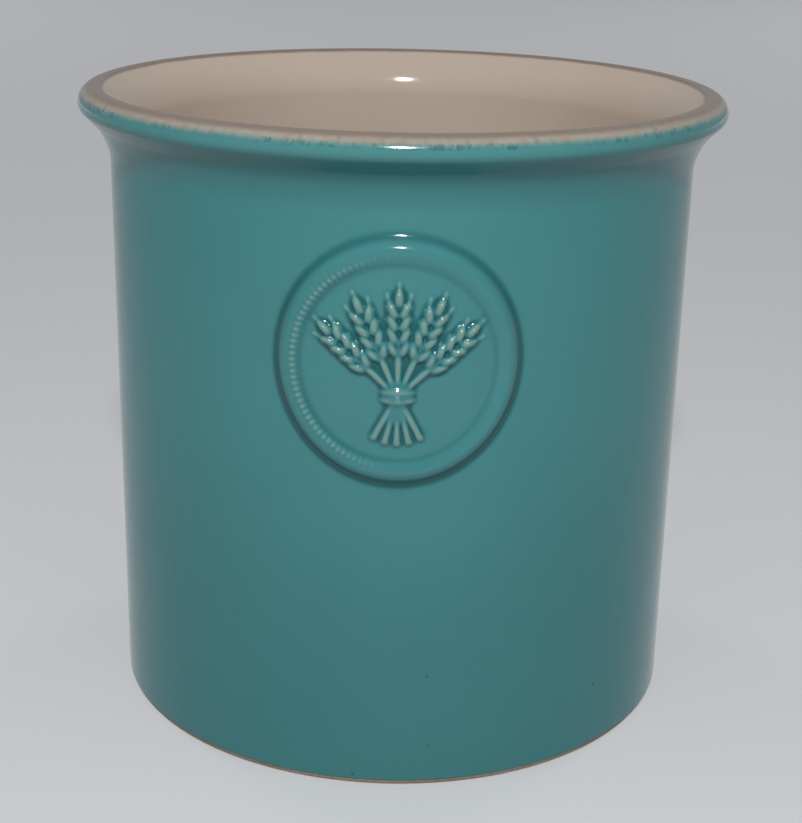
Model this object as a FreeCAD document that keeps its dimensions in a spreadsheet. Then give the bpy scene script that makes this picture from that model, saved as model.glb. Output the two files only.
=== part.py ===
import FreeCAD, Part
import math
import os
import Sketcher

# Wide stoneware utensil crock with a flared lip, glazed in two colours, with a
# round relief medallion on the front. Millimetres, +Z up, origin on the ground
# at the centre of the foot. The front, with the medallion, faces -Y.

Vector = FreeCAD.Vector
UP = Vector(0, 0, 1)

# Driving dimensions in millimetres and degrees
DIMENSIONS = {
    # finished outside
    "height": 178.0,
    "wall_radius": 83.0,
    "rim_radius": 91.4,
    "lip_face": 5.3,
    "lip_width": 6.2,
    "flare_round": 16.0,
    "lip_top_round": 4.5,
    # inside and underside
    "wall_thickness": 5.6,
    "throat_width": 4.1,
    "throat_height": 9.9,
    "floor_level": 9.0,
    "floor_bevel": 7.0,
    "foot_width": 9.0,
    "foot_depth": 2.2,
    "foot_bevel": 1.5,
    # glaze
    "glaze": 0.5,
    "glaze_end": 1.6,
    "border_angle": 55.0,
    # medallion: heights above the wall, the ring's slopes along it
    "medallion_level": 120.5,
    "field_relief": 1.6,
    "ring_outer": 33.0,
    "ring_inner": 25.4,
    "ring_relief": 2.4,
    "ring_slope": 3.6,
    "ring_shoulder": 2.4,
    # wheat sheaf: heights above the medallion's field
    "tie_drop": 8.0,
    "tie_width": 9.6,
    "tie_height": 3.8,
    "tie_relief": 1.9,
    "sheaf_relief": 1.6,
    "stalk_width": 1.6,
    "ear_start": 10.5,
    "ear_valley": 3.0,
    "ear_belly": 5.6,
    "ear_fan": 24.0,
    "grain_step": 3.2,
    "straw_length": 12.5,
    "straw_fan": 14.0,
}
STALKS = 5
GRAINS = 5
LIP_BEVELS = 2


class Size:
    """A length and the sheet expression that gives it."""

    def __init__(self, value, text):
        self.value = value
        self.text = text

    def join(self, other, sign, value):
        return Size(value, "(%s %s %s)" % (self.text, sign, other.text))

    def __add__(self, other):
        return self.join(other, "+", self.value + other.value)

    def __sub__(self, other):
        return self.join(other, "-", self.value - other.value)

    def __mul__(self, factor):
        return Size(self.value * factor, "(%s * %r)" % (self.text, factor))


doc = FreeCAD.newDocument("utensil_crock")
sheet = doc.addObject("Spreadsheet::Sheet", "dims")
for row, (alias, number) in enumerate(DIMENSIONS.items(), start=1):
    sheet.set("A%d" % row, alias)
    sheet.set("B%d" % row, str(number))
    sheet.setAlias("B%d" % row, alias)
doc.recompute()
D = {alias: Size(number, "dims." + alias) for alias, number in DIMENSIONS.items()}
NOTHING = Size(0.0, "0")


def bind(item, sizes):
    """Set properties of an object from sizes, each bound to the sheet."""
    for name, size in sizes.items():
        item.setExpression(name, size.text)


def hold(sketch, kind, places, size):
    """Add a dimension to a sketch and bind it to the sheet."""
    index = sketch.addConstraint(Sketcher.Constraint(kind, *places, size.value))
    sketch.setExpression("Constraints[%d]" % index, size.text)


def pin(sketch, geometry, end, x, z):
    """Hold a point of a sketch at a bound distance from both axes."""
    for kind, axis, size in (("DistanceX", -2, x), ("DistanceY", -1, z)):
        if size is NOTHING:
            sketch.addConstraint(Sketcher.Constraint("PointOnObject", geometry, end, axis))
        else:
            hold(sketch, kind, (-1, 1, geometry, end), size)


def draw_outline(sketch, corners):
    """Draw a closed outline through (x, z, radius) corners, rounded where the radius isn't None."""
    count = len(corners)
    places = [Vector(x.value, z.value, 0) for x, z, radius in corners]
    leave = []
    arrive = []
    for i, (x, z, radius) in enumerate(corners):
        back = (places[i - 1] - places[i]).normalize()
        ahead = (places[(i + 1) % count] - places[i]).normalize()
        reach = 0.0 if radius is None else radius.value / math.tan(back.getAngle(ahead) / 2)
        arrive.append(places[i] + back * reach)
        leave.append(places[i] + ahead * reach)
    lines = []
    for i in range(count):
        lines.append(sketch.addGeometry(Part.LineSegment(leave[i], arrive[(i + 1) % count]), False))
    for i, (x, z, radius) in enumerate(corners):
        before = lines[i - 1]
        after = lines[i]
        if radius is None:
            sketch.addConstraint(Sketcher.Constraint("Coincident", before, 2, after, 1))
            pin(sketch, after, 1, x, z)
            continue
        middle = arrive[i] + leave[i] - places[i] * 2
        half_angle = (arrive[i] - places[i]).getAngle(middle)
        centre = places[i] + middle.normalize() * (radius.value / math.sin(half_angle))
        left_turn = (arrive[i] - centre).cross(leave[i] - centre).z > 0
        ends = (arrive[i], leave[i]) if left_turn else (leave[i], arrive[i])
        arc = sketch.addGeometry(arc_about(centre, *ends), False)
        sketch.addConstraint(Sketcher.Constraint("Tangent", before, 2, arc, 1 if left_turn else 2))
        sketch.addConstraint(Sketcher.Constraint("Tangent", arc, 2 if left_turn else 1, after, 1))
        hold(sketch, "Radius", (arc,), radius)
        corner = sketch.addGeometry(Part.Point(places[i]), True)
        sketch.addConstraint(Sketcher.Constraint("PointOnObject", corner, 1, before))
        sketch.addConstraint(Sketcher.Constraint("PointOnObject", corner, 1, after))
        pin(sketch, corner, 1, x, z)


def arc_about(centre, start, end):
    """Arc that runs to the left from one point to another about a centre."""
    first, last = [math.atan2(place.y - centre.y, place.x - centre.x) for place in (start, end)]
    return Part.ArcOfCircle(Part.Circle(centre, UP, (start - centre).Length), first, last)


def new_body(name):
    """An empty body with its label."""
    body = doc.addObject("PartDesign::Body", name)
    body.Label = name
    return body


def upright_sketch(body, name):
    """A sketch on the body's own plane of X and Z, which looks to the front."""
    sketch = body.newObject("Sketcher::SketchObject", name)
    plane = [item for item in body.Origin.OriginFeatures if item.Role == "XZ_Plane"][0]
    sketch.AttachmentSupport = [(plane, "")]
    sketch.MapMode = "FlatFace"
    return sketch


def turned_body(name, corners):
    """Revolve an outline of (radius, height, rounding) corners about the crock's axis."""
    body = new_body(name)
    sketch = upright_sketch(body, name + "_section")
    draw_outline(sketch, corners)
    revolution = body.newObject("PartDesign::Revolution", name + "_turned")
    revolution.Profile = sketch
    revolution.ReferenceAxis = (sketch, ["V_Axis"])
    revolution.Angle = 360.0
    return body


def boolean(kind, name, base, tool):
    """Join two solids by Cut, Common or Fuse."""
    result = doc.addObject("Part::" + kind, name)
    result.Label = name
    result.Base = base
    result.Tool = tool
    return result


# The lip rises at 45 degrees inside and out, so its corners follow from the radii alone
LIP_LOW = D["height"] - D["lip_face"]
LIP_CENTRE = D["height"] - D["lip_top_round"]
CREST = D["rim_radius"] - D["lip_top_round"]
FLARE_CORNER = LIP_LOW - (D["rim_radius"] - D["wall_radius"])
MOUTH_RADIUS = D["rim_radius"] - D["lip_width"]
INNER_RADIUS = D["wall_radius"] - D["wall_thickness"]
THROAT_RADIUS = INNER_RADIUS + D["throat_width"]
THROAT_TOP = D["height"] - (MOUTH_RADIUS - THROAT_RADIUS)
THROAT_LOW = THROAT_TOP - D["throat_height"]
FOOT_INNER = D["wall_radius"] - D["foot_width"]


def underside():
    """Corners of the section under the floor, out to the foot."""
    return [
        (NOTHING, D["foot_depth"], None),
        (FOOT_INNER, D["foot_depth"], None),
        (FOOT_INNER, NOTHING, None),
    ]


def inside(skin):
    """Corners of the section from the lip's inner edge to the floor, a skin's thickness into the wall."""
    return [
        (MOUTH_RADIUS, D["height"] - skin, None),
        (THROAT_RADIUS + skin, THROAT_TOP, None),
        (INNER_RADIUS + skin, THROAT_LOW, None),
        (INNER_RADIUS + skin, D["floor_level"] + D["floor_bevel"], None),
        (INNER_RADIUS - D["floor_bevel"], D["floor_level"] - skin, None),
        (NOTHING, D["floor_level"] - skin, None),
    ]


def lip_top():
    """Corners of the section over the lip, in even bevels that touch its rounding."""
    step = math.pi / 2 / (LIP_BEVELS + 1)
    corners = []
    for bevel in range(LIP_BEVELS, -1, -1):
        bearing = step * (bevel + 0.5)
        across = D["lip_top_round"] * (math.sin(bearing) / math.cos(step / 2))
        rise = D["lip_top_round"] * (math.cos(bearing) / math.cos(step / 2))
        corners.append((CREST + across, LIP_CENTRE + rise, None))
    return corners


# Finished surface of the crock, over both glazes
finished = turned_body("finished_surface", underside() + [
    (D["wall_radius"], NOTHING, None),
    (D["wall_radius"], FLARE_CORNER, D["flare_round"]),
    (D["rim_radius"], LIP_LOW, None),
] + lip_top() + inside(NOTHING))

# Clay body, a glaze's thickness inside that surface, with plain corners where
# the glaze rounds them off. The foot and its bevel stay bare.
CLAY_OUTER = D["wall_radius"] - D["glaze"]
CLAY_RIM = D["rim_radius"] - D["glaze"]
TILT = D["glaze"] * math.tan(math.radians(22.5))

stoneware_body = turned_body("stoneware_body", underside() + [
    (CLAY_OUTER - D["foot_bevel"], NOTHING, None),
    (CLAY_OUTER, D["foot_bevel"], None),
    (CLAY_OUTER, FLARE_CORNER + TILT, None),
    (CLAY_RIM, LIP_LOW + TILT, None),
    (CLAY_RIM, LIP_CENTRE, None),
    (CREST, D["height"] - D["glaze"], None),
] + inside(D["glaze"]))

# Both glazes fill the space between the two. They part on the lip's outer
# rounding, along a cone through the rounding's centre.
MID_WALL = D["wall_radius"] - D["wall_thickness"] * 0.5
MID_FLOOR = (D["foot_depth"] + D["floor_level"]) * 0.5
REACH = D["lip_top_round"] * 2.0
border = math.radians(DIMENSIONS["border_angle"])
BORDER_RADIUS = CREST + REACH * math.sin(border)
BORDER_LEVEL = LIP_CENTRE + REACH * math.cos(border)
BEYOND = D["rim_radius"] + REACH
ABOVE = D["height"] + REACH

outer_zone = turned_body("outer_zone", [
    (MID_WALL, D["glaze_end"], None),
    (BEYOND, D["glaze_end"], None),
    (BEYOND, BORDER_LEVEL, None),
    (BORDER_RADIUS, BORDER_LEVEL, None),
    (CREST, LIP_CENTRE, None),
    (MID_WALL, FLARE_CORNER, None),
])
inner_zone = turned_body("inner_zone", [
    (NOTHING, MID_FLOOR, None),
    (MID_WALL, MID_FLOOR, None),
    (MID_WALL, FLARE_CORNER, None),
    (CREST, LIP_CENTRE, None),
    (BORDER_RADIUS, BORDER_LEVEL, None),
    (BORDER_RADIUS, ABOVE, None),
    (NOTHING, ABOVE, None),
])


def glaze_coat(name, zone):
    """The glaze between the clay and the finished surface, within one zone."""
    share = boolean("Common", name + "_share", finished, zone)
    return boolean("Cut", name, share, stoneware_body)


outer_glaze = glaze_coat("outer_glaze", outer_zone)
liner_glaze = glaze_coat("liner_glaze", inner_zone)


def drum(name, relief):
    """A round core of the crock, up to a height above its wall."""
    core = doc.addObject("Part::Cylinder", name)
    bind(core, {"Radius": D["wall_radius"] + relief, "Height": FLARE_CORNER})
    return core


# The relief of the medallion follows the round wall at even heights
wall_drum = drum("wall_drum", NOTHING)
field_drum = drum("field_drum", D["field_relief"])


def raised(name, block, base, relief):
    """The share of a block that stands out from a drum, up to a height above the wall."""
    limit = drum(name + "_limit", relief)
    return boolean("Cut", name, boolean("Common", name + "_block", block, limit), base)


def upright_core(name, radius):
    """A straight core whose cut through the wall is a circle along the wall's curve."""
    ellipse = doc.addObject("Part::Ellipse", name + "_edge")
    width = "dims.wall_radius * sin(%s / dims.wall_radius * 1 rad)" % radius.text
    bind(ellipse, {"MajorRadius": radius, "MinorRadius": Size(0.0, width)})
    ellipse.Placement.Rotation = FreeCAD.Rotation(UP, Vector(1, 0, 0), Vector(0, 1, 0), "XYZ")
    ellipse.setExpression(".Placement.Base.z", D["medallion_level"].text)
    core = doc.addObject("Part::Extrusion", name)
    core.Base = ellipse
    core.DirMode = "Custom"
    core.Dir = Vector(0, -1, 0)
    core.Solid = True
    core.setExpression("LengthFwd", BEYOND.text)
    return core


# A low disc on the wall, with its field sunk inside a ring
disc = raised("raised_disc", upright_core("disc_core", D["ring_outer"]), wall_drum, D["ring_relief"])
field = boolean("Cut", "sunk_field", upright_core("field_core", D["ring_inner"]), field_drum)
dished_disc = boolean("Cut", "dished_disc", disc, field)
doc.recompute()

# The ring's steep outer slope and its gentle inner one
medallion_ring = doc.addObject("Part::Chamfer", "medallion_ring")
medallion_ring.Label = "medallion_ring"
medallion_ring.Base = dished_disc
RING_STEP = DIMENSIONS["ring_relief"] - DIMENSIONS["field_relief"]
crests = []
for number, edge in enumerate(dished_disc.Shape.Edges, start=1):
    start = edge.valueAt(edge.FirstParameter)
    out = math.hypot(start.x, start.y) - DIMENSIONS["wall_radius"]
    if edge.isClosed() and out > DIMENSIONS["ring_relief"] - RING_STEP / 2:
        crests.append((edge.Length, number))
(_, inner_crest), (_, outer_crest) = sorted(crests)
medallion_ring.Edges = [
    (outer_crest, DIMENSIONS["ring_relief"] * 0.8, DIMENSIONS["ring_slope"]),
    (inner_crest, DIMENSIONS["ring_shoulder"], RING_STEP * 0.8),
]

# Wheat sheaf: ears fan out above the tie and cut straws below it
TIE_LEVEL = D["medallion_level"] - D["tie_drop"]


def sheaf_sketch(body, name, turn):
    """A sketch that looks to the front, with its origin at the tie."""
    sketch = upright_sketch(body, name)
    sketch.AttachmentOffset = FreeCAD.Placement(Vector(), FreeCAD.Rotation(UP, turn))
    sketch.setExpression(".AttachmentOffset.Base.y", TIE_LEVEL.text)
    return sketch


def draw_mirrored(sketch, places):
    """Draw an outline alike on both sides from its right-hand places, lowest first, to its tip."""
    right = [Vector(x.value, z.value, 0) for x, z in places]
    left = [Vector(-place.x, place.y, 0) for place in reversed(right[:-1])]
    outline = right + left
    edges = []
    for start, end in zip(outline, outline[1:] + outline[:1]):
        edges.append(sketch.addGeometry(Part.LineSegment(start, end), False))
    for i, edge in enumerate(edges):
        sketch.addConstraint(Sketcher.Constraint("Coincident", edges[i - 1], 2, edge, 1))
    for i, (x, z) in enumerate(places):
        pin(sketch, edges[i], 1, x, z)
        if x is not NOTHING:
            mirrored = edges[len(outline) - 1 - i]
            sketch.addConstraint(Sketcher.Constraint("Symmetric", edges[i], 1, mirrored, 1, -2))


def add_fan(body, name, places, step, middle):
    """Pad an outline to the front once for every stalk, fanned about the tie."""
    spread = step * (STALKS - 1)
    sketch = sheaf_sketch(body, name, middle - spread / 2)
    draw_mirrored(sketch, places)
    pad = body.newObject("PartDesign::Pad", name + "_pad")
    pad.Profile = sketch
    pad.setExpression("Length", BEYOND.text)
    doc.recompute()
    pattern = body.newObject("PartDesign::PolarPattern", name + "_fan")
    pattern.Originals = [pad]
    pattern.Axis = (sketch, ["N_Axis"])
    pattern.Angle = spread
    pattern.Occurrences = STALKS
    body.Tip = pattern
    doc.recompute()


half_stalk = D["stalk_width"] * 0.5
ear = [(half_stalk, NOTHING), (half_stalk, D["ear_start"])]
for grain in range(GRAINS):
    root = D["ear_start"] + D["grain_step"] * float(grain)
    ear.append((D["ear_belly"] * 0.5, root + D["grain_step"] * 0.7))
    ear.append((D["ear_valley"] * 0.5, root + D["grain_step"]))
ear[-1] = (NOTHING, root + D["grain_step"] * 1.5)
stalks = new_body("stalks")
add_fan(stalks, "ears", ear, DIMENSIONS["ear_fan"], 0.0)
straw = [(half_stalk, NOTHING), (half_stalk, D["straw_length"]), (NOTHING, D["straw_length"])]
add_fan(stalks, "straws", straw, DIMENSIONS["straw_fan"], 180.0)

tie = new_body("tie")
tie_sketch = sheaf_sketch(tie, "tie_outline", 0.0)
half_width = D["tie_width"] * 0.5
half_height = D["tie_height"] * 0.5
corners = []
for across, rise in ((-1.0, -1.0), (1.0, -1.0), (1.0, 1.0), (-1.0, 1.0)):
    corners.append((half_width * across, half_height * rise, half_height * 0.8))
draw_outline(tie_sketch, corners)
tie_pad = tie.newObject("PartDesign::Pad", "tie_pad")
tie_pad.Profile = tie_sketch
tie_pad.setExpression("Length", BEYOND.text)

raised_stalks = raised("raised_stalks", stalks, field_drum, D["field_relief"] + D["sheaf_relief"])
raised_tie = raised("raised_tie", tie, field_drum, D["field_relief"] + D["tie_relief"])
medallion_sheaf = boolean("Fuse", "medallion_sheaf", raised_stalks, raised_tie)
doc.recompute()

# Every object is sound before anything is written
subparts = [stoneware_body, outer_glaze, liner_glaze, medallion_ring, medallion_sheaf]
for item in doc.Objects:
    if "Invalid" in item.State or "Error" in item.State:
        raise RuntimeError("%s failed: %s" % (item.Label, item.State))
for item in subparts:
    if item.Shape.isNull() or not item.Shape.isValid():
        raise RuntimeError("%s has no sound shape" % item.Label)

os.makedirs("parts", exist_ok=True)
for item in subparts:
    item.Shape.exportStep("parts/%s.step" % item.Label)
    print(item.Label, len(item.Shape.Solids), "solid", round(item.Shape.Volume), "cubic millimetres")
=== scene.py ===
import math

import bmesh
import bpy
import numpy as np
from mathutils import Matrix, Vector


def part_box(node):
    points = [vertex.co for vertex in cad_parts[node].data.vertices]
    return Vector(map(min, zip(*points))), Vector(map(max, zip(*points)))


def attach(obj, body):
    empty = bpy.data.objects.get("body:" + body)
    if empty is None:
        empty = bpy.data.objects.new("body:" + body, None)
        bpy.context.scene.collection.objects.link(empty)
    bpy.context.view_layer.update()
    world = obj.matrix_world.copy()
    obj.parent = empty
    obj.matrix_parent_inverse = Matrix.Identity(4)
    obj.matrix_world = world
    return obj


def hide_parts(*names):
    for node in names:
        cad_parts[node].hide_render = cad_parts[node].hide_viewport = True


# A glazed stoneware utensil crock: teal outside, cream inside, with a wheat
# sheaf in a beaded ring on the front wall. Metres, +Z up, front towards -Y.

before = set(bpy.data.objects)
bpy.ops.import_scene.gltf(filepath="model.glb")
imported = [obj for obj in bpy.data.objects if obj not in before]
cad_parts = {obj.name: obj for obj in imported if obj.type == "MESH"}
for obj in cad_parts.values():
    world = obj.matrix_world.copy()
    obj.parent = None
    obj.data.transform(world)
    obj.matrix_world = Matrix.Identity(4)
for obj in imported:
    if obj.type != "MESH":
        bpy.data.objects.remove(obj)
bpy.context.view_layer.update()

MM = 0.001

# Sizes taken from the frame
_, liner_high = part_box("liner_glaze")
outer_low, outer_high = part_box("outer_glaze")
ring_low, ring_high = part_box("medallion_ring")
HEIGHT = liner_high.z
RIM_RADIUS = outer_high.x
GLAZE_END = outer_low.z
MEDALLION_LEVEL = (ring_low.z + ring_high.z) / 2

# Section of the crock
RING_RELIEF = 2.4 * MM
WALL_RADIUS = -ring_low.y - RING_RELIEF
WALL_THICKNESS = 5.6 * MM
GLAZE = 0.5 * MM
GLAZE_EDGE_ROUND = 0.35 * MM
LIP_FACE = 5.6 * MM
LIP_WIDTH = 6.2 * MM
LIP_TOP_ROUND = 4.5 * MM
LIP_LOW_ROUND = 2.6 * MM
FLARE_ROUND = 16.0 * MM
INNER_FLARE_ROUND = 14.0 * MM
MOUTH_ROUND = 1.6 * MM
FLOOR_LEVEL = 9.0 * MM
FLOOR_ROUND = 9.0 * MM
FOOT_WIDTH = 9.0 * MM
FOOT_DEPTH = 2.2 * MM
FOOT_ROUND = 1.0 * MM

LIP_LOW = HEIGHT - LIP_FACE
LIP_CENTRE = HEIGHT - LIP_TOP_ROUND
CREST_RADIUS = RIM_RADIUS - LIP_TOP_ROUND
MOUTH_RADIUS = RIM_RADIUS - LIP_WIDTH
INNER_RADIUS = WALL_RADIUS - WALL_THICKNESS
FLARE_CORNER = LIP_LOW - (RIM_RADIUS - WALL_RADIUS)
INNER_CORNER = HEIGHT - (MOUTH_RADIUS - INNER_RADIUS)
FOOT_INNER = WALL_RADIUS - FOOT_WIDTH

# Fineness of the turned pieces
TURN_STEPS = 240
ROUND_STEPS = 10
WALL_CUTS = 76
RELIEF_CUTS = 6
WELD = 0.001 * MM
SHARP_ANGLE = math.radians(50)
# A rounding as wide as the edge beside it stays a hair short of its end
NEARLY_FULL = 0.999


def add_piece(name, bm, material, slot, *nodes):
    """Make a finished object of a bmesh, which stands for some nodes of the frame."""
    bmesh.ops.remove_doubles(bm, verts=bm.verts, dist=WELD)
    bmesh.ops.recalc_face_normals(bm, faces=bm.faces)
    mesh = bpy.data.meshes.new(name)
    bm.to_mesh(mesh)
    bm.free()
    mesh.materials.append(material)
    piece = bpy.data.objects.new(name, mesh)
    bpy.context.scene.collection.objects.link(piece)
    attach(piece, "root")
    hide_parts(*nodes)
    return piece


def smooth(piece):
    """Shade a piece smooth, apart from its hard edges."""
    piece.data.shade_smooth()
    piece.data.set_sharp_from_angle(angle=SHARP_ANGLE)


def section(corners):
    """A closed wire through (radius, height, rounding) corners, in the plane of X and Z."""
    bm = bmesh.new()
    verts = [bm.verts.new((radius, 0, height)) for radius, height, _ in corners]
    for start, end in zip(verts, verts[1:] + verts[:1]):
        bm.edges.new((start, end))
    for i, (_, _, rounding) in enumerate(corners):
        if not rounding:
            continue
        before, here, after = [Vector(corners[j % len(corners)][:2]) for j in (i - 1, i, i + 1)]
        reach = rounding * math.tan((here - before).angle(after - here) / 2)
        bmesh.ops.bevel(bm, geom=[verts[i]], offset=reach, offset_type="OFFSET", segments=ROUND_STEPS,
                        profile=0.5, affect="VERTICES", material=-1)
    return bm


def turn(bm):
    """Spin a section once round the crock's axis."""
    bmesh.ops.spin(bm, geom=bm.verts[:] + bm.edges[:], cent=(0, 0, 0), axis=(0, 0, 1),
                   dvec=(0, 0, 0), angle=math.tau, steps=TURN_STEPS, use_merge=True, use_duplicate=False)


# Relief of the medallion. Its places are in millimetres from the medallion's
# centre: across to the right along the wall, and up.
RING_HEIGHT = RING_RELIEF / MM
RING_CREST = 28.9
RING_FOOT = 33.2
RELIEF_SPAN = RING_FOOT + 1
FIELD_HEIGHT = 1.6
FIELD_EDGE = 24.4
MEDALLION_ASPECT = 0.97
BEADS_CLEAR = 182.0
BEADS_FAINT = 0.15
BEADS_FADE = (-0.1, 0.75)
BEADS = 108
BEAD_CIRCLE = 27.0
BEAD_HALF_LENGTH = 1.15
BEAD_HALF_WIDTH = 0.7
BEAD_HEIGHT = 0.6
TIE_DROP = 8.0
TIE_HALF_WIDTH = 4.6
TIE_HALF_HEIGHT = 1.9
TIE_HEIGHT = 1.9
STALKS = 5
EAR_FAN = 24.0
EAR_START = 10.5
STALK_HALF_WIDTH = 1.0
STALK_HEIGHT = 1.1
CORD_PLACES = (-0.5, 0.5)
GRAIN_PAIRS = 4
GRAIN_STEP = 3.2
GRAIN_ROOT = 0.6
TIP_ROOT = 0.5
GRAIN_POINT = 0.5
GRAIN_OUT = 1.55
GRAIN_SPLAY = 26.0
GRAIN_HALF_LENGTH = 2.75
GRAIN_HALF_WIDTH = 1.35
GRAIN_HEIGHT = 1.75
AWN_ROOT = 0.7
AWN_SPLAY = 0.6
TIP_AWN_LENGTH = 1.2
AWN_LENGTH = 2.4
AWN_HALF_WIDTH = 0.6
AWN_HEIGHT = 0.5
STRAW_FAN = 14.0
STRAW_LENGTH = 12.5
UNION_SHARPNESS = 4.0
DOME_POWER = 0.8
GLAZE_SPREAD = 0.75
PLACES_AROUND = 8
THIN_SPAN = 1.4
DISC_SHARE = 0.4
# Dark ring at the medallion's foot: pooled glaze, with painted shade that is deepest at the bottom and
# sides
POOL_AND_SHADE_RING = 32.0
POOL_AND_SHADE_DEPTH = 0.8
POOL_AND_SHADE_SPAN = 1.5
POOL_AND_SHADE_EVEN = 0.55
PAINTED_SHADE_LOWER = 0.25
FIELD_POOL = 25.0
FIELD_POOL_DEPTH = 0.16
FIELD_POOL_SPAN = 1.1


def ease(low, high, value):
    """A smooth rise from 0 at low to 1 at high."""
    part = np.clip((value - low) / (high - low), 0, 1)
    return part * part * (3 - 2 * part)


def dome(reach):
    """Height of a soft swelling, 1 in the middle and 0 from a reach of 1."""
    return np.clip(1 - reach * reach, 0, 1) ** DOME_POWER


def heading(degrees):
    """Unit steps along a direction from the vertical and to the right of it."""
    lean = math.radians(degrees)
    return np.array([math.sin(lean), math.cos(lean)]), np.array([math.cos(lean), -math.sin(lean)])


def seed(across, up, centre, degrees, half_length, half_width):
    """A swelling shaped like a grain, pointed along a direction."""
    along, aside = heading(degrees)
    x = across - centre[0]
    y = up - centre[1]
    length = (x * along[0] + y * along[1]) / half_length
    width = (x * aside[0] + y * aside[1]) / half_width
    return dome(np.sqrt(length ** 2 + width ** 2 * (1 + GRAIN_POINT * np.clip(length, -1, 1))))


def rod(across, up, start, degrees, length, half_width):
    """A straight round-topped rod from a place along a direction."""
    along, _ = heading(degrees)
    x = across - start[0]
    y = up - start[1]
    reach = np.clip(x * along[0] + y * along[1], 0, length)
    return dome(np.hypot(x - reach * along[0], y - reach * along[1]) / half_width)


def sheaf_forms(across, up):
    """Heights of each form of the wheat sheaf: straws, ears and the tie round them."""
    tie = np.array([0.0, -TIE_DROP])
    for stalk in range(STALKS):
        side = stalk - (STALKS - 1) / 2
        lean = side * EAR_FAN
        along, aside = heading(lean)
        yield STALK_HEIGHT * rod(across, up, tie, lean, EAR_START + GRAIN_STEP, STALK_HALF_WIDTH)
        yield STALK_HEIGHT * rod(across, up, tie, 180 - side * STRAW_FAN, STRAW_LENGTH, STALK_HALF_WIDTH)
        for pair in range(GRAIN_PAIRS):
            middle = tie + along * (EAR_START + GRAIN_STEP * (pair + GRAIN_ROOT))
            for hand in (-1, 1):
                centre = middle + aside * hand * GRAIN_OUT
                splay = lean + hand * GRAIN_SPLAY
                yield GRAIN_HEIGHT * seed(across, up, centre, splay, GRAIN_HALF_LENGTH, GRAIN_HALF_WIDTH)
                point = centre + heading(splay)[0] * GRAIN_HALF_LENGTH * AWN_ROOT
                yield AWN_HEIGHT * rod(across, up, point, lean + hand * GRAIN_SPLAY * AWN_SPLAY,
                                       AWN_LENGTH, AWN_HALF_WIDTH)
        tip = tie + along * (EAR_START + GRAIN_STEP * (GRAIN_PAIRS + TIP_ROOT))
        yield GRAIN_HEIGHT * seed(across, up, tip, lean, GRAIN_HALF_LENGTH, GRAIN_HALF_WIDTH)
        yield AWN_HEIGHT * rod(across, up, tip, lean, GRAIN_HALF_LENGTH + TIP_AWN_LENGTH, AWN_HALF_WIDTH)
    for cord in CORD_PLACES:
        reach = np.hypot(across / TIE_HALF_WIDTH, (up + TIE_DROP) / TIE_HALF_HEIGHT - cord)
        yield TIE_HEIGHT * dome(reach)


def disc(across, up):
    """Height of the raised disc and its ring above the wall."""
    distance = np.hypot(across, up)
    ring = FIELD_HEIGHT + (RING_HEIGHT - FIELD_HEIGHT) * ease(FIELD_EDGE, RING_CREST, distance)
    return ring * (1 - ease(RING_CREST, RING_FOOT, distance))


def carving(across, up):
    """Height of the beads and the sheaf above the disc. The beads sink in the glaze away from one side."""
    pitch = math.tau / BEADS
    bearing = np.arctan2(up, across)
    off_bead = (bearing / pitch - np.round(bearing / pitch)) * pitch * BEAD_CIRCLE
    off_circle = np.hypot(across, up) - BEAD_CIRCLE
    clear = BEADS_FAINT + (1 - BEADS_FAINT) * ease(*BEADS_FADE, np.cos(bearing - math.radians(BEADS_CLEAR)))
    beads = dome(np.hypot(off_circle / BEAD_HALF_LENGTH, off_bead / BEAD_HALF_WIDTH))
    sheaf = sum(form ** UNION_SHARPNESS for form in sheaf_forms(across, up)) ** (1 / UNION_SHARPNESS)
    return BEAD_HEIGHT * clear * beads + sheaf


def modelled(across, up):
    """Height of the medallion's clay above the wall."""
    return disc(across, up) + carving(across, up)


def ring_mean(surface, across, up, reach):
    """Mean height of a surface on a small circle round each place."""
    around = [heading(step * 360 / PLACES_AROUND)[0] * reach for step in range(PLACES_AROUND)]
    return sum(surface(across + x, up + y) for x, y in around) / PLACES_AROUND


def relief(across, up):
    """Height of the glazed medallion: the glaze fills hollows and softens edges."""
    return (modelled(across, up) + ring_mean(modelled, across, up, GLAZE_SPREAD)) / 2


def glaze_thinness_and_shade(across, up):
    """Where the glaze runs thin, above 0, and below 0 where it pools, with painted shade at the ring's foot
    that is deepest at its bottom and sides.
    """
    distance = np.hypot(across, up)
    thin = carving(across, up) - ring_mean(carving, across, up, THIN_SPAN)
    thin += DISC_SHARE * (disc(across, up) - ring_mean(disc, across, up, THIN_SPAN))
    # Painted shade: the dark ring at the ring's foot is deeper at the bottom and sides than at the top, as
    # light from above would shade it
    low = POOL_AND_SHADE_EVEN - PAINTED_SHADE_LOWER * up / np.maximum(distance, 1)
    thin -= POOL_AND_SHADE_DEPTH * low * np.exp(-((distance - POOL_AND_SHADE_RING) / POOL_AND_SHADE_SPAN) ** 2)
    return thin - FIELD_POOL_DEPTH * np.exp(-((distance - FIELD_POOL) / FIELD_POOL_SPAN) ** 2)


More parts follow.
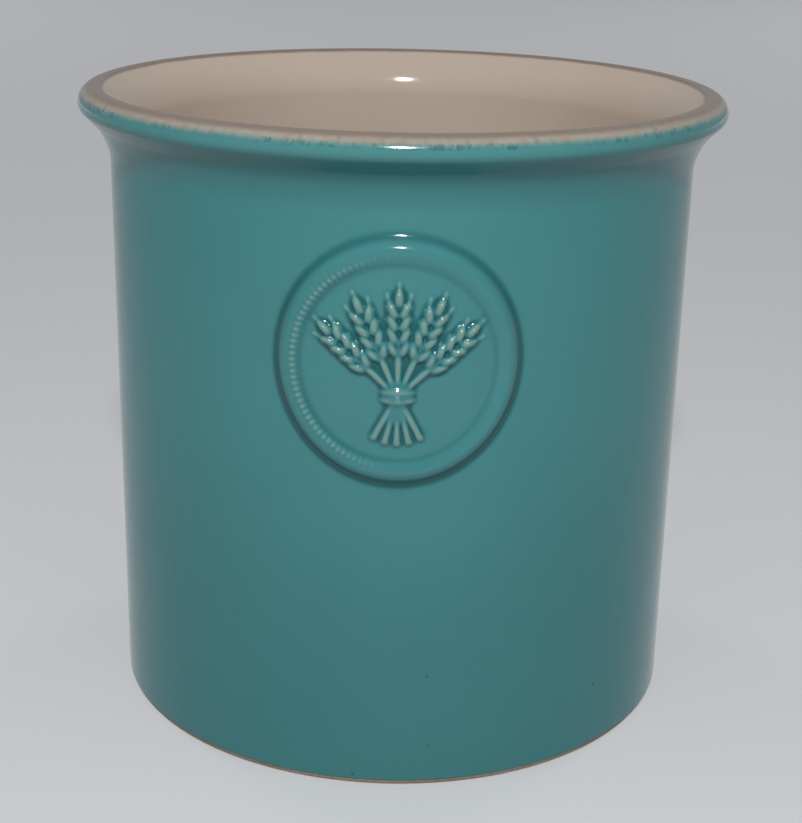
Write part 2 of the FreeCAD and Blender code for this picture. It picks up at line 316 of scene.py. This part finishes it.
def emboss(piece):
    """Raise the medallion on the wall and note where its glaze runs thin and where it pools, with painted
    shade at the ring's foot.
    """
    mesh = piece.data
    places = np.empty(len(mesh.vertices) * 3)
    mesh.vertices.foreach_get("co", places)
    places = places.reshape(-1, 3)
    radius = np.hypot(places[:, 0], places[:, 1])
    bearing = np.arctan2(places[:, 0], -places[:, 1])
    across = bearing * WALL_RADIUS / (MM * MEDALLION_ASPECT)
    up = (places[:, 2] - MEDALLION_LEVEL) / MM
    near = np.maximum(np.abs(across), np.abs(up)) < RELIEF_SPAN
    raised = near & (radius > WALL_RADIUS - GLAZE / 2)
    across = across[raised]
    up = up[raised]
    out = WALL_RADIUS + relief(across, up) * MM
    places[raised, 0] = out * np.sin(bearing[raised])
    places[raised, 1] = -out * np.cos(bearing[raised])
    mesh.vertices.foreach_set("co", places.ravel())
    thin = np.zeros(len(radius))
    thin[raised] = glaze_thinness_and_shade(across, up)
    mesh.attributes.new("thin_glaze_and_shade", "FLOAT", "POINT").data.foreach_set("value", thin)
    mesh.update()


class Value:
    """A socket of a shader that can be reckoned with."""

    def __init__(self, finish, socket):
        self.finish = finish
        self.socket = socket

    def combined(self, operation, first, second):
        return self.finish.node("Math", {"operation": operation}, {0: first, 1: second})

    def __add__(self, other):
        return self.combined("ADD", self, other)

    def __radd__(self, other):
        return self.combined("ADD", other, self)

    def __sub__(self, other):
        return self.combined("SUBTRACT", self, other)

    def __rsub__(self, other):
        return self.combined("SUBTRACT", other, self)

    def __mul__(self, other):
        return self.combined("MULTIPLY", self, other)

    def __rmul__(self, other):
        return self.combined("MULTIPLY", other, self)

    def __lt__(self, other):
        return self.combined("LESS_THAN", self, other)


class Finish:
    """The nodes of one material, on a Principled shader."""

    def __init__(self, name, **constants):
        self.material = bpy.data.materials.new(name)
        self.material.use_nodes = True
        self.tree = self.material.node_tree
        self.shader = self.tree.nodes["Principled BSDF"]
        for socket, number in constants.items():
            self.shader.inputs[socket.replace("_", " ")].default_value = number
        self.place = self.node("TexCoord", output="Object")

    def feed(self, socket, value):
        """Link a value to a socket, or set it there."""
        if isinstance(value, Value):
            self.tree.links.new(value.socket, socket)
        else:
            socket.default_value = value

    def node(self, kind, settings=(), inputs=(), output=0):
        """Add a node with its settings and inputs, and give one of its outputs."""
        made = self.tree.nodes.new("ShaderNode" + kind)
        for name, setting in dict(settings).items():
            setattr(made, name, setting)
        for name, value in dict(inputs).items():
            self.feed(made.inputs[name], value)
        return Value(self, made.outputs[output])

    def mix(self, share, first, second):
        """A colour between two colours."""
        return self.node("Mix", {"data_type": "RGBA"}, {0: share, 6: first, 7: second}, 2)

    def seen(self):
        """1 where the camera looks, also through a reflection, and 0 for light that spreads."""
        rays = ("Is Camera Ray", "Is Glossy Ray", "Is Transmission Ray")
        return sum(self.node("LightPath", output=ray) for ray in rays)

    def noise(self, size, detail=2.0, roughness=0.5, vector=None):
        """Smooth noise from 0 to 1 with features of a size in metres."""
        return self.node("TexNoise", {}, {"Vector": vector or self.place, "Scale": 1 / size,
                                          "Detail": detail, "Roughness": roughness})

    def rise(self, value, low, high):
        """A smooth rise from 0 at low to 1 at high."""
        return self.node("MapRange", {"interpolation_type": "SMOOTHSTEP"},
                         {"Value": value, "From Min": low, "From Max": high})

    def band(self, value, low, high, soft):
        """1 between low and high, fading over a soft edge outside."""
        return self.rise(value, low - soft, low) * (1 - self.rise(value, high, high + soft))

    def coloured(self, colour):
        self.feed(self.shader.inputs["Base Color"], colour)

    def rough(self, value):
        self.feed(self.shader.inputs["Roughness"], value)

    def bumps(self, height, distance):
        """Small unevenness, with the height of a full step in metres."""
        normal = self.node("Bump", {}, {"Strength": 1.0, "Distance": distance, "Height": height})
        self.feed(self.shader.inputs["Normal"], normal)


# Colours, linear
TEAL = (0.040, 0.190, 0.202, 1)
TEAL_LIGHT = (0.054, 0.222, 0.230, 1)
TEAL_POOL_AND_SHADE = (0.004, 0.078, 0.088, 1)
TEAL_THIN = (0.190, 0.300, 0.265, 1)
TEAL_DROP = (0.018, 0.075, 0.080, 1)
LIP_BROWN = (0.215, 0.168, 0.136, 1)
LIP_PINK = (0.315, 0.240, 0.190, 1)
LIP_PALE = (0.335, 0.315, 0.262, 1)
LIP_DRIP = (0.110, 0.110, 0.080, 1)
SPECK = (0.020, 0.040, 0.042, 1)
CREAM = (0.505, 0.424, 0.352, 1)
CREAM_DARK = (0.440, 0.365, 0.298, 1)
CLAY = (0.360, 0.288, 0.225, 1)
CLAY_DARK = (0.215, 0.158, 0.115, 1)


def round_level(degrees):
    """Height of a place on the lip's outer rounding, by its angle from the top."""
    return LIP_CENTRE + LIP_TOP_ROUND * math.cos(math.radians(degrees))


# Where the glazes change on the lip's rounding
BROWN_LOW = round_level(18)
PALE_TOP = round_level(46)
PALE_LOW = round_level(43)
TEAL_TOP = round_level(69)
DROPS_TOP = round_level(58)
DROPS_LOW = round_level(70)
DROPS_SOFT = 0.5 * MM

# Where the liner turns brown at the mouth
LINER_BROWN_START = MOUTH_RADIUS - 1.1 * MM
LINER_BROWN_FULL = MOUTH_RADIUS - 0.5 * MM

# Painted shade: the wall grows darker towards its foot
FOOT_SHADE_TOP = 110 * MM
FOOT_SHADE_LOW = 40 * MM
# Pooled glaze and painted shade in the hollow under the lip
HOLLOW_LOW = FLARE_CORNER + 4 * MM
HOLLOW_TOP = FLARE_CORNER + 6 * MM
HOLLOW_SOFT = 4 * MM

# Where the glaze grows thinner, on the face of the lip
THIN_LOW = LIP_LOW - 2 * MM
THIN_TOP = LIP_LOW + 2 * MM

# Dark specks, low on the wall
SPECK_SPACING = 9 * MM
SPECKS_TOP = 70 * MM
SPECK_CORE = 0.1 * MM
SPECK_EDGE = 0.75 * MM

# Sizes of the unevenness in the glazes
TEAL_CLOUDS = 45 * MM
TEAL_MOTTLE = 2.5 * MM
TEAL_WAVES = 26 * MM
TEAL_RIPPLES = 1.8 * MM
CREAM_CLOUDS = 40 * MM
CREAM_MOTTLE = 3 * MM
CREAM_WAVES = 22 * MM
CREAM_RIPPLES = 2 * MM
WAVE_HEIGHT = 0.25 * MM
RIPPLE_SHARE = 0.02
LIP_WAVES = 6 * MM
LIP_GRAIN = 1.2 * MM
MOUTH_WAVES = 9 * MM
BORDER_SHIFT = 0.5 * MM
PINK_STREAKS = 3 * MM
DARK_RUNS = 2.8 * MM
FINE_STREAKS = 1.6 * MM
FINE_SHIFT = 0.4 * MM
DROP_WIDTH = 1.2 * MM
DROP_UPRIGHT = 0.6
DROP_GROUPS = 14 * MM


def height_above(finish):
    """Height above the ground."""
    return finish.node("SeparateXYZ", {}, {"Vector": finish.place}, 2)


def level_place(finish):
    """Place as seen from above, without its height."""
    return finish.node("VectorMath", {"operation": "MULTIPLY"}, {0: finish.place, 1: (1, 1, 0)})


def streaks(finish, width, upright=0.0):
    """Noise round the crock that is drawn out upwards, as runs of glaze are."""
    bearing = finish.node("VectorMath", {"operation": "NORMALIZE"}, {0: level_place(finish)})
    stretch = (0, 0, upright / RIM_RADIUS)
    lift = finish.node("VectorMath", {"operation": "MULTIPLY"}, {0: finish.place, 1: stretch})
    drawn = finish.node("VectorMath", {"operation": "ADD"}, {0: bearing, 1: lift})
    return finish.noise(width / RIM_RADIUS, 1, vector=drawn)


def lip_colour(finish, height):
    """Brown clay through thin glaze on top of the lip, paler towards its outer edge, with darker runs."""
    level = height + (finish.noise(LIP_WAVES, 4, 0.6) - 0.5) * BORDER_SHIFT
    worn = finish.rise(level, BROWN_LOW, PALE_TOP)
    colour = finish.mix(worn, LIP_BROWN, LIP_PALE)
    pink = finish.rise(streaks(finish, PINK_STREAKS), 0.40, 0.70) * worn
    colour = finish.mix(pink * 0.7, colour, LIP_PINK)
    colour = finish.mix(finish.noise(LIP_GRAIN) * 0.3, colour, LIP_BROWN)
    runs = finish.rise(streaks(finish, DARK_RUNS), 0.55, 0.78) * worn
    return finish.mix(runs * 0.35, colour, LIP_DRIP)


def specks(finish, height):
    """Small dark spots, more of them towards the foot."""
    cells = {"Vector": finish.place, "Scale": 1 / SPECK_SPACING}
    chance = finish.node("SeparateColor", {}, {"Color": finish.node("TexVoronoi", {}, cells, "Color")}, 0)
    off_speck = finish.node("TexVoronoi", {}, cells, "Distance") * SPECK_SPACING
    few = chance < finish.rise(height, SPECKS_TOP, 0.0) * 0.9
    return (1 - finish.rise(off_speck, SPECK_CORE, SPECK_EDGE)) * few


def teal_glaze():
    """Glossy teal glaze: paler where it runs thin over relief, darker where it pools, with painted shade
    round the medallion's ring, under the lip and towards the foot.
    """
    finish = Finish("teal_glaze", IOR=1.4)
    height = height_above(finish)
    mottle = finish.noise(TEAL_MOTTLE, 3, 0.6)
    colour = finish.mix(finish.noise(TEAL_CLOUDS) * 0.7 + mottle * 0.3, TEAL, TEAL_LIGHT)
    thin = finish.node("Attribute", {"attribute_name": "thin_glaze_and_shade"}, {}, "Fac")
    colour = finish.mix(finish.rise(thin, 0.05, 0.5) * 0.75, colour, TEAL_THIN)
    # Pooled glaze, and painted shade at the foot of the medallion's ring
    colour = finish.mix(finish.rise(thin, 0.0, -0.5) * 0.85, colour, TEAL_POOL_AND_SHADE)
    # Pooled glaze and painted shade in the hollow under the lip
    colour = finish.mix(finish.band(height, HOLLOW_LOW, HOLLOW_TOP, HOLLOW_SOFT) * 0.4, colour, TEAL_POOL_AND_SHADE)
    # Painted shade, darker towards the foot of the wall
    colour = finish.mix(finish.rise(height, FOOT_SHADE_TOP, FOOT_SHADE_LOW) * 0.2, colour, TEAL_POOL_AND_SHADE)
    colour = finish.mix(finish.rise(height, THIN_LOW, THIN_TOP) * 0.12, colour, TEAL_THIN)
    colour = finish.mix(specks(finish, height) * 0.6, colour, SPECK)
    wobble = (finish.noise(LIP_WAVES) - 0.5) * BORDER_SHIFT
    border = height + wobble + (streaks(finish, FINE_STREAKS) - 0.5) * FINE_SHIFT
    on_lip = finish.rise(border, TEAL_TOP, PALE_LOW)
    drops = finish.rise(streaks(finish, DROP_WIDTH, DROP_UPRIGHT), 0.44, 0.74)
    drops = drops * finish.band(border, DROPS_LOW, DROPS_TOP, DROPS_SOFT)
    drops = drops * (0.25 + finish.rise(finish.noise(DROP_GROUPS, 1), 0.40, 0.60) * 0.75)
    colour = finish.mix(on_lip, colour, lip_colour(finish, height))
    finish.coloured(finish.mix(drops * 0.6, colour, TEAL_DROP))
    finish.rough(0.08 + mottle * 0.06 + on_lip * 0.1)
    finish.bumps(finish.noise(TEAL_WAVES) + finish.noise(TEAL_RIPPLES) * RIPPLE_SHARE, WAVE_HEIGHT)
    return finish.material


def cream_glaze():
    """Glossy cream glaze, brown on the lip where it is thin."""
    finish = Finish("cream_glaze", IOR=1.4)
    radius = finish.node("VectorMath", {"operation": "LENGTH"}, {0: level_place(finish)}, "Value")
    mottle = finish.noise(CREAM_MOTTLE, 3, 0.6)
    colour = finish.mix(finish.noise(CREAM_CLOUDS, 3) * 0.7 + mottle * 0.3, CREAM_DARK, CREAM)
    wobble = (finish.noise(MOUTH_WAVES) - 0.5) * BORDER_SHIFT
    on_lip = finish.rise(radius + wobble, LINER_BROWN_START, LINER_BROWN_FULL)
    finish.coloured(finish.mix(on_lip, colour, lip_colour(finish, height_above(finish))))
    finish.rough(0.07 + mottle * 0.05 + on_lip * 0.1)
    finish.bumps(finish.noise(CREAM_WAVES) + finish.noise(CREAM_RIPPLES) * RIPPLE_SHARE, WAVE_HEIGHT)
    return finish.material


# Grain of the bare clay
CLAY_GRAIN = 0.7 * MM
CLAY_CLOUDS = 12 * MM
CLAY_ROUGHNESS = 0.3 * MM


def bare_clay():
    """Matt unglazed stoneware with dark and light grains."""
    finish = Finish("bare_clay", Roughness=0.85)
    grain = finish.noise(CLAY_GRAIN, 4, 0.7)
    cloud = finish.noise(CLAY_CLOUDS, 3)
    finish.coloured(finish.mix(finish.rise(grain * 0.7 + cloud * 0.3, 0.3, 0.7), CLAY_DARK, CLAY))
    finish.bumps(grain, CLAY_ROUGHNESS)
    return finish.material


# Outer glaze with the medallion, from the foot to the top of the lip
bm = section([
    (WALL_RADIUS, GLAZE_END, GLAZE_EDGE_ROUND),
    (WALL_RADIUS, FLARE_CORNER, FLARE_ROUND),
    (RIM_RADIUS, LIP_LOW, LIP_LOW_ROUND),
    (RIM_RADIUS, HEIGHT, LIP_TOP_ROUND * NEARLY_FULL),
    (CREST_RADIUS, HEIGHT, 0),
    (CREST_RADIUS, HEIGHT - GLAZE, 0),
    (RIM_RADIUS - GLAZE, LIP_CENTRE, 0),
    (RIM_RADIUS - GLAZE, LIP_LOW, 0),
    (WALL_RADIUS - GLAZE, FLARE_CORNER, 0),
    (WALL_RADIUS - GLAZE, GLAZE_END, 0),
])
wall = max((edge for edge in bm.edges if min(vert.co.x for vert in edge.verts) > WALL_RADIUS - GLAZE / 2),
           key=lambda edge: edge.calc_length())
bmesh.ops.subdivide_edges(bm, edges=[wall], cuts=WALL_CUTS)
turn(bm)
relief_edges = set()
for face in bm.faces:
    middle = face.calc_center_median()
    on_wall = math.hypot(middle.x, middle.y) > WALL_RADIUS - GLAZE / 2
    near = max(abs(math.atan2(middle.x, -middle.y)) * WALL_RADIUS, abs(middle.z - MEDALLION_LEVEL))
    if on_wall and near < RELIEF_SPAN * MM:
        relief_edges.update(face.edges)
bmesh.ops.subdivide_edges(bm, edges=list(relief_edges), cuts=RELIEF_CUTS, use_grid_fill=True)
outer_piece = add_piece("outer_glaze_coat", bm, teal_glaze(), "teal_glaze",
                        "outer_glaze", "medallion_ring", "medallion_sheaf")
emboss(outer_piece)
smooth(outer_piece)

# Liner glaze, from the top of the lip over the inner wall to the floor
bm = section([
    (CREST_RADIUS, HEIGHT, 0),
    (MOUTH_RADIUS, HEIGHT, MOUTH_ROUND),
    (INNER_RADIUS, INNER_CORNER, INNER_FLARE_ROUND),
    (INNER_RADIUS, FLOOR_LEVEL, FLOOR_ROUND),
    (0, FLOOR_LEVEL, 0),
    (0, FLOOR_LEVEL - GLAZE, 0),
    (INNER_RADIUS + GLAZE, FLOOR_LEVEL - GLAZE, FLOOR_ROUND),
    (INNER_RADIUS + GLAZE, INNER_CORNER, INNER_FLARE_ROUND),
    (MOUTH_RADIUS + GLAZE, HEIGHT - GLAZE, 0),
    (CREST_RADIUS, HEIGHT - GLAZE, 0),
])
turn(bm)
liner_piece = add_piece("liner_glaze_coat", bm, cream_glaze(), "cream_glaze", "liner_glaze")
smooth(liner_piece)

# Clay body: the bare foot ring and the recess inside it show
bm = section([
    (0, FOOT_DEPTH, 0),
    (FOOT_INNER, FOOT_DEPTH, FOOT_ROUND),
    (FOOT_INNER, 0, FOOT_ROUND),
    (WALL_RADIUS - GLAZE, 0, FOOT_ROUND),
    (WALL_RADIUS - GLAZE, FLARE_CORNER, 0),
    (RIM_RADIUS - GLAZE, LIP_LOW, 0),
    (RIM_RADIUS - GLAZE, LIP_CENTRE, 0),
    (CREST_RADIUS, HEIGHT - GLAZE, 0),
    (MOUTH_RADIUS + GLAZE, HEIGHT - GLAZE, 0),
    (INNER_RADIUS + GLAZE, INNER_CORNER, INNER_FLARE_ROUND),
    (INNER_RADIUS + GLAZE, FLOOR_LEVEL - GLAZE, FLOOR_ROUND),
    (0, FLOOR_LEVEL - GLAZE, 0),
])
turn(bm)
clay_piece = add_piece("clay_body", bm, bare_clay(), "bare_clay", "stoneware_body")
smooth(clay_piece)

# Floor
FLOOR_SIZE = 8.0
FLOOR_COLOUR = (0.50, 0.51, 0.525, 1)
FLOOR_GLOW = (0.15, 0.15, 0.155, 1)
bm = bmesh.new()
bmesh.ops.create_grid(bm, x_segments=1, y_segments=1, size=FLOOR_SIZE / 2)
floor_mesh = bpy.data.meshes.new("floor")
bm.to_mesh(floor_mesh)
bm.free()
paper = Finish("floor_paper", Roughness=0.9, Emission_Strength=1.0)
paper.coloured(FLOOR_COLOUR)
paper.feed(paper.shader.inputs["Emission Color"], paper.mix(paper.seen(), (0, 0, 0, 1), FLOOR_GLOW))
floor_mesh.materials.append(paper.material)
floor = bpy.data.objects.new("floor", floor_mesh)
bpy.context.scene.collection.objects.link(floor)

# Light: a lamp above the camera, two low ones behind the crock and an even room
ROOM = (0.30, 0.305, 0.31, 1)
KEY_BACK = 0.68
KEY_UP = 0.66
KEY_SIZE = 0.06
KEY_POWER = 5.7
REAR_ASIDE = 2.2
REAR_UP = 0.75
REAR_SIZE = 1.0
REAR_POWER = 20.0
scene = bpy.context.scene
scene.view_settings.view_transform = "Standard"
world = bpy.data.worlds.new("room")
world.use_nodes = True
world.node_tree.nodes["Background"].inputs["Color"].default_value = ROOM
scene.world = world


def soft_lamp(name, place, size, power, mirrored):
    """A square lamp that looks at the middle of the crock, mirrored by glossy surfaces or not."""
    data = bpy.data.lights.new(name, "AREA")
    data.size = size
    data.energy = power
    lamp = bpy.data.objects.new(name, data)
    lamp.location = place
    lamp.rotation_euler = (Vector((0, 0, HEIGHT / 2)) - Vector(place)).to_track_quat("-Z", "Y").to_euler()
    lamp.visible_camera = False
    lamp.visible_glossy = mirrored
    scene.collection.objects.link(lamp)


soft_lamp("key_lamp", (0.0, -KEY_BACK, KEY_UP), KEY_SIZE, KEY_POWER, True)
soft_lamp("left_back_lamp", (-REAR_ASIDE, REAR_ASIDE, REAR_UP), REAR_SIZE, REAR_POWER, False)
soft_lamp("right_back_lamp", (REAR_ASIDE, REAR_ASIDE, REAR_UP), REAR_SIZE, REAR_POWER, False)

# Camera
CAMERA_BACK = 461.3 * MM
CAMERA_UP = 239.1 * MM
CAMERA_PITCH = 19.13
CAMERA_ROLL = 1.204
CAMERA_YAW = 0.148
FOCAL_PIXELS = 1600.6
IMAGE_HEIGHT = 823
SENSOR = 36.0

pitch, roll, yaw = [math.radians(angle) for angle in (CAMERA_PITCH, CAMERA_ROLL, CAMERA_YAW)]
ahead = Vector((math.sin(yaw) * math.cos(pitch), math.cos(yaw) * math.cos(pitch), -math.sin(pitch)))
aside = Vector((math.cos(yaw), -math.sin(yaw), 0))
above = aside.cross(ahead)
right = aside * math.cos(roll) + above * math.sin(roll)
top = above * math.cos(roll) - aside * math.sin(roll)
camera_data = bpy.data.cameras.new("camera")
camera_data.sensor_width = SENSOR
camera_data.lens = FOCAL_PIXELS * SENSOR / IMAGE_HEIGHT
camera = bpy.data.objects.new("camera", camera_data)
turned = Matrix((right, top, -ahead)).transposed().to_4x4()
camera.matrix_world = Matrix.Translation((0, -CAMERA_BACK, CAMERA_UP)) @ turned
scene.collection.objects.link(camera)
scene.camera = camera
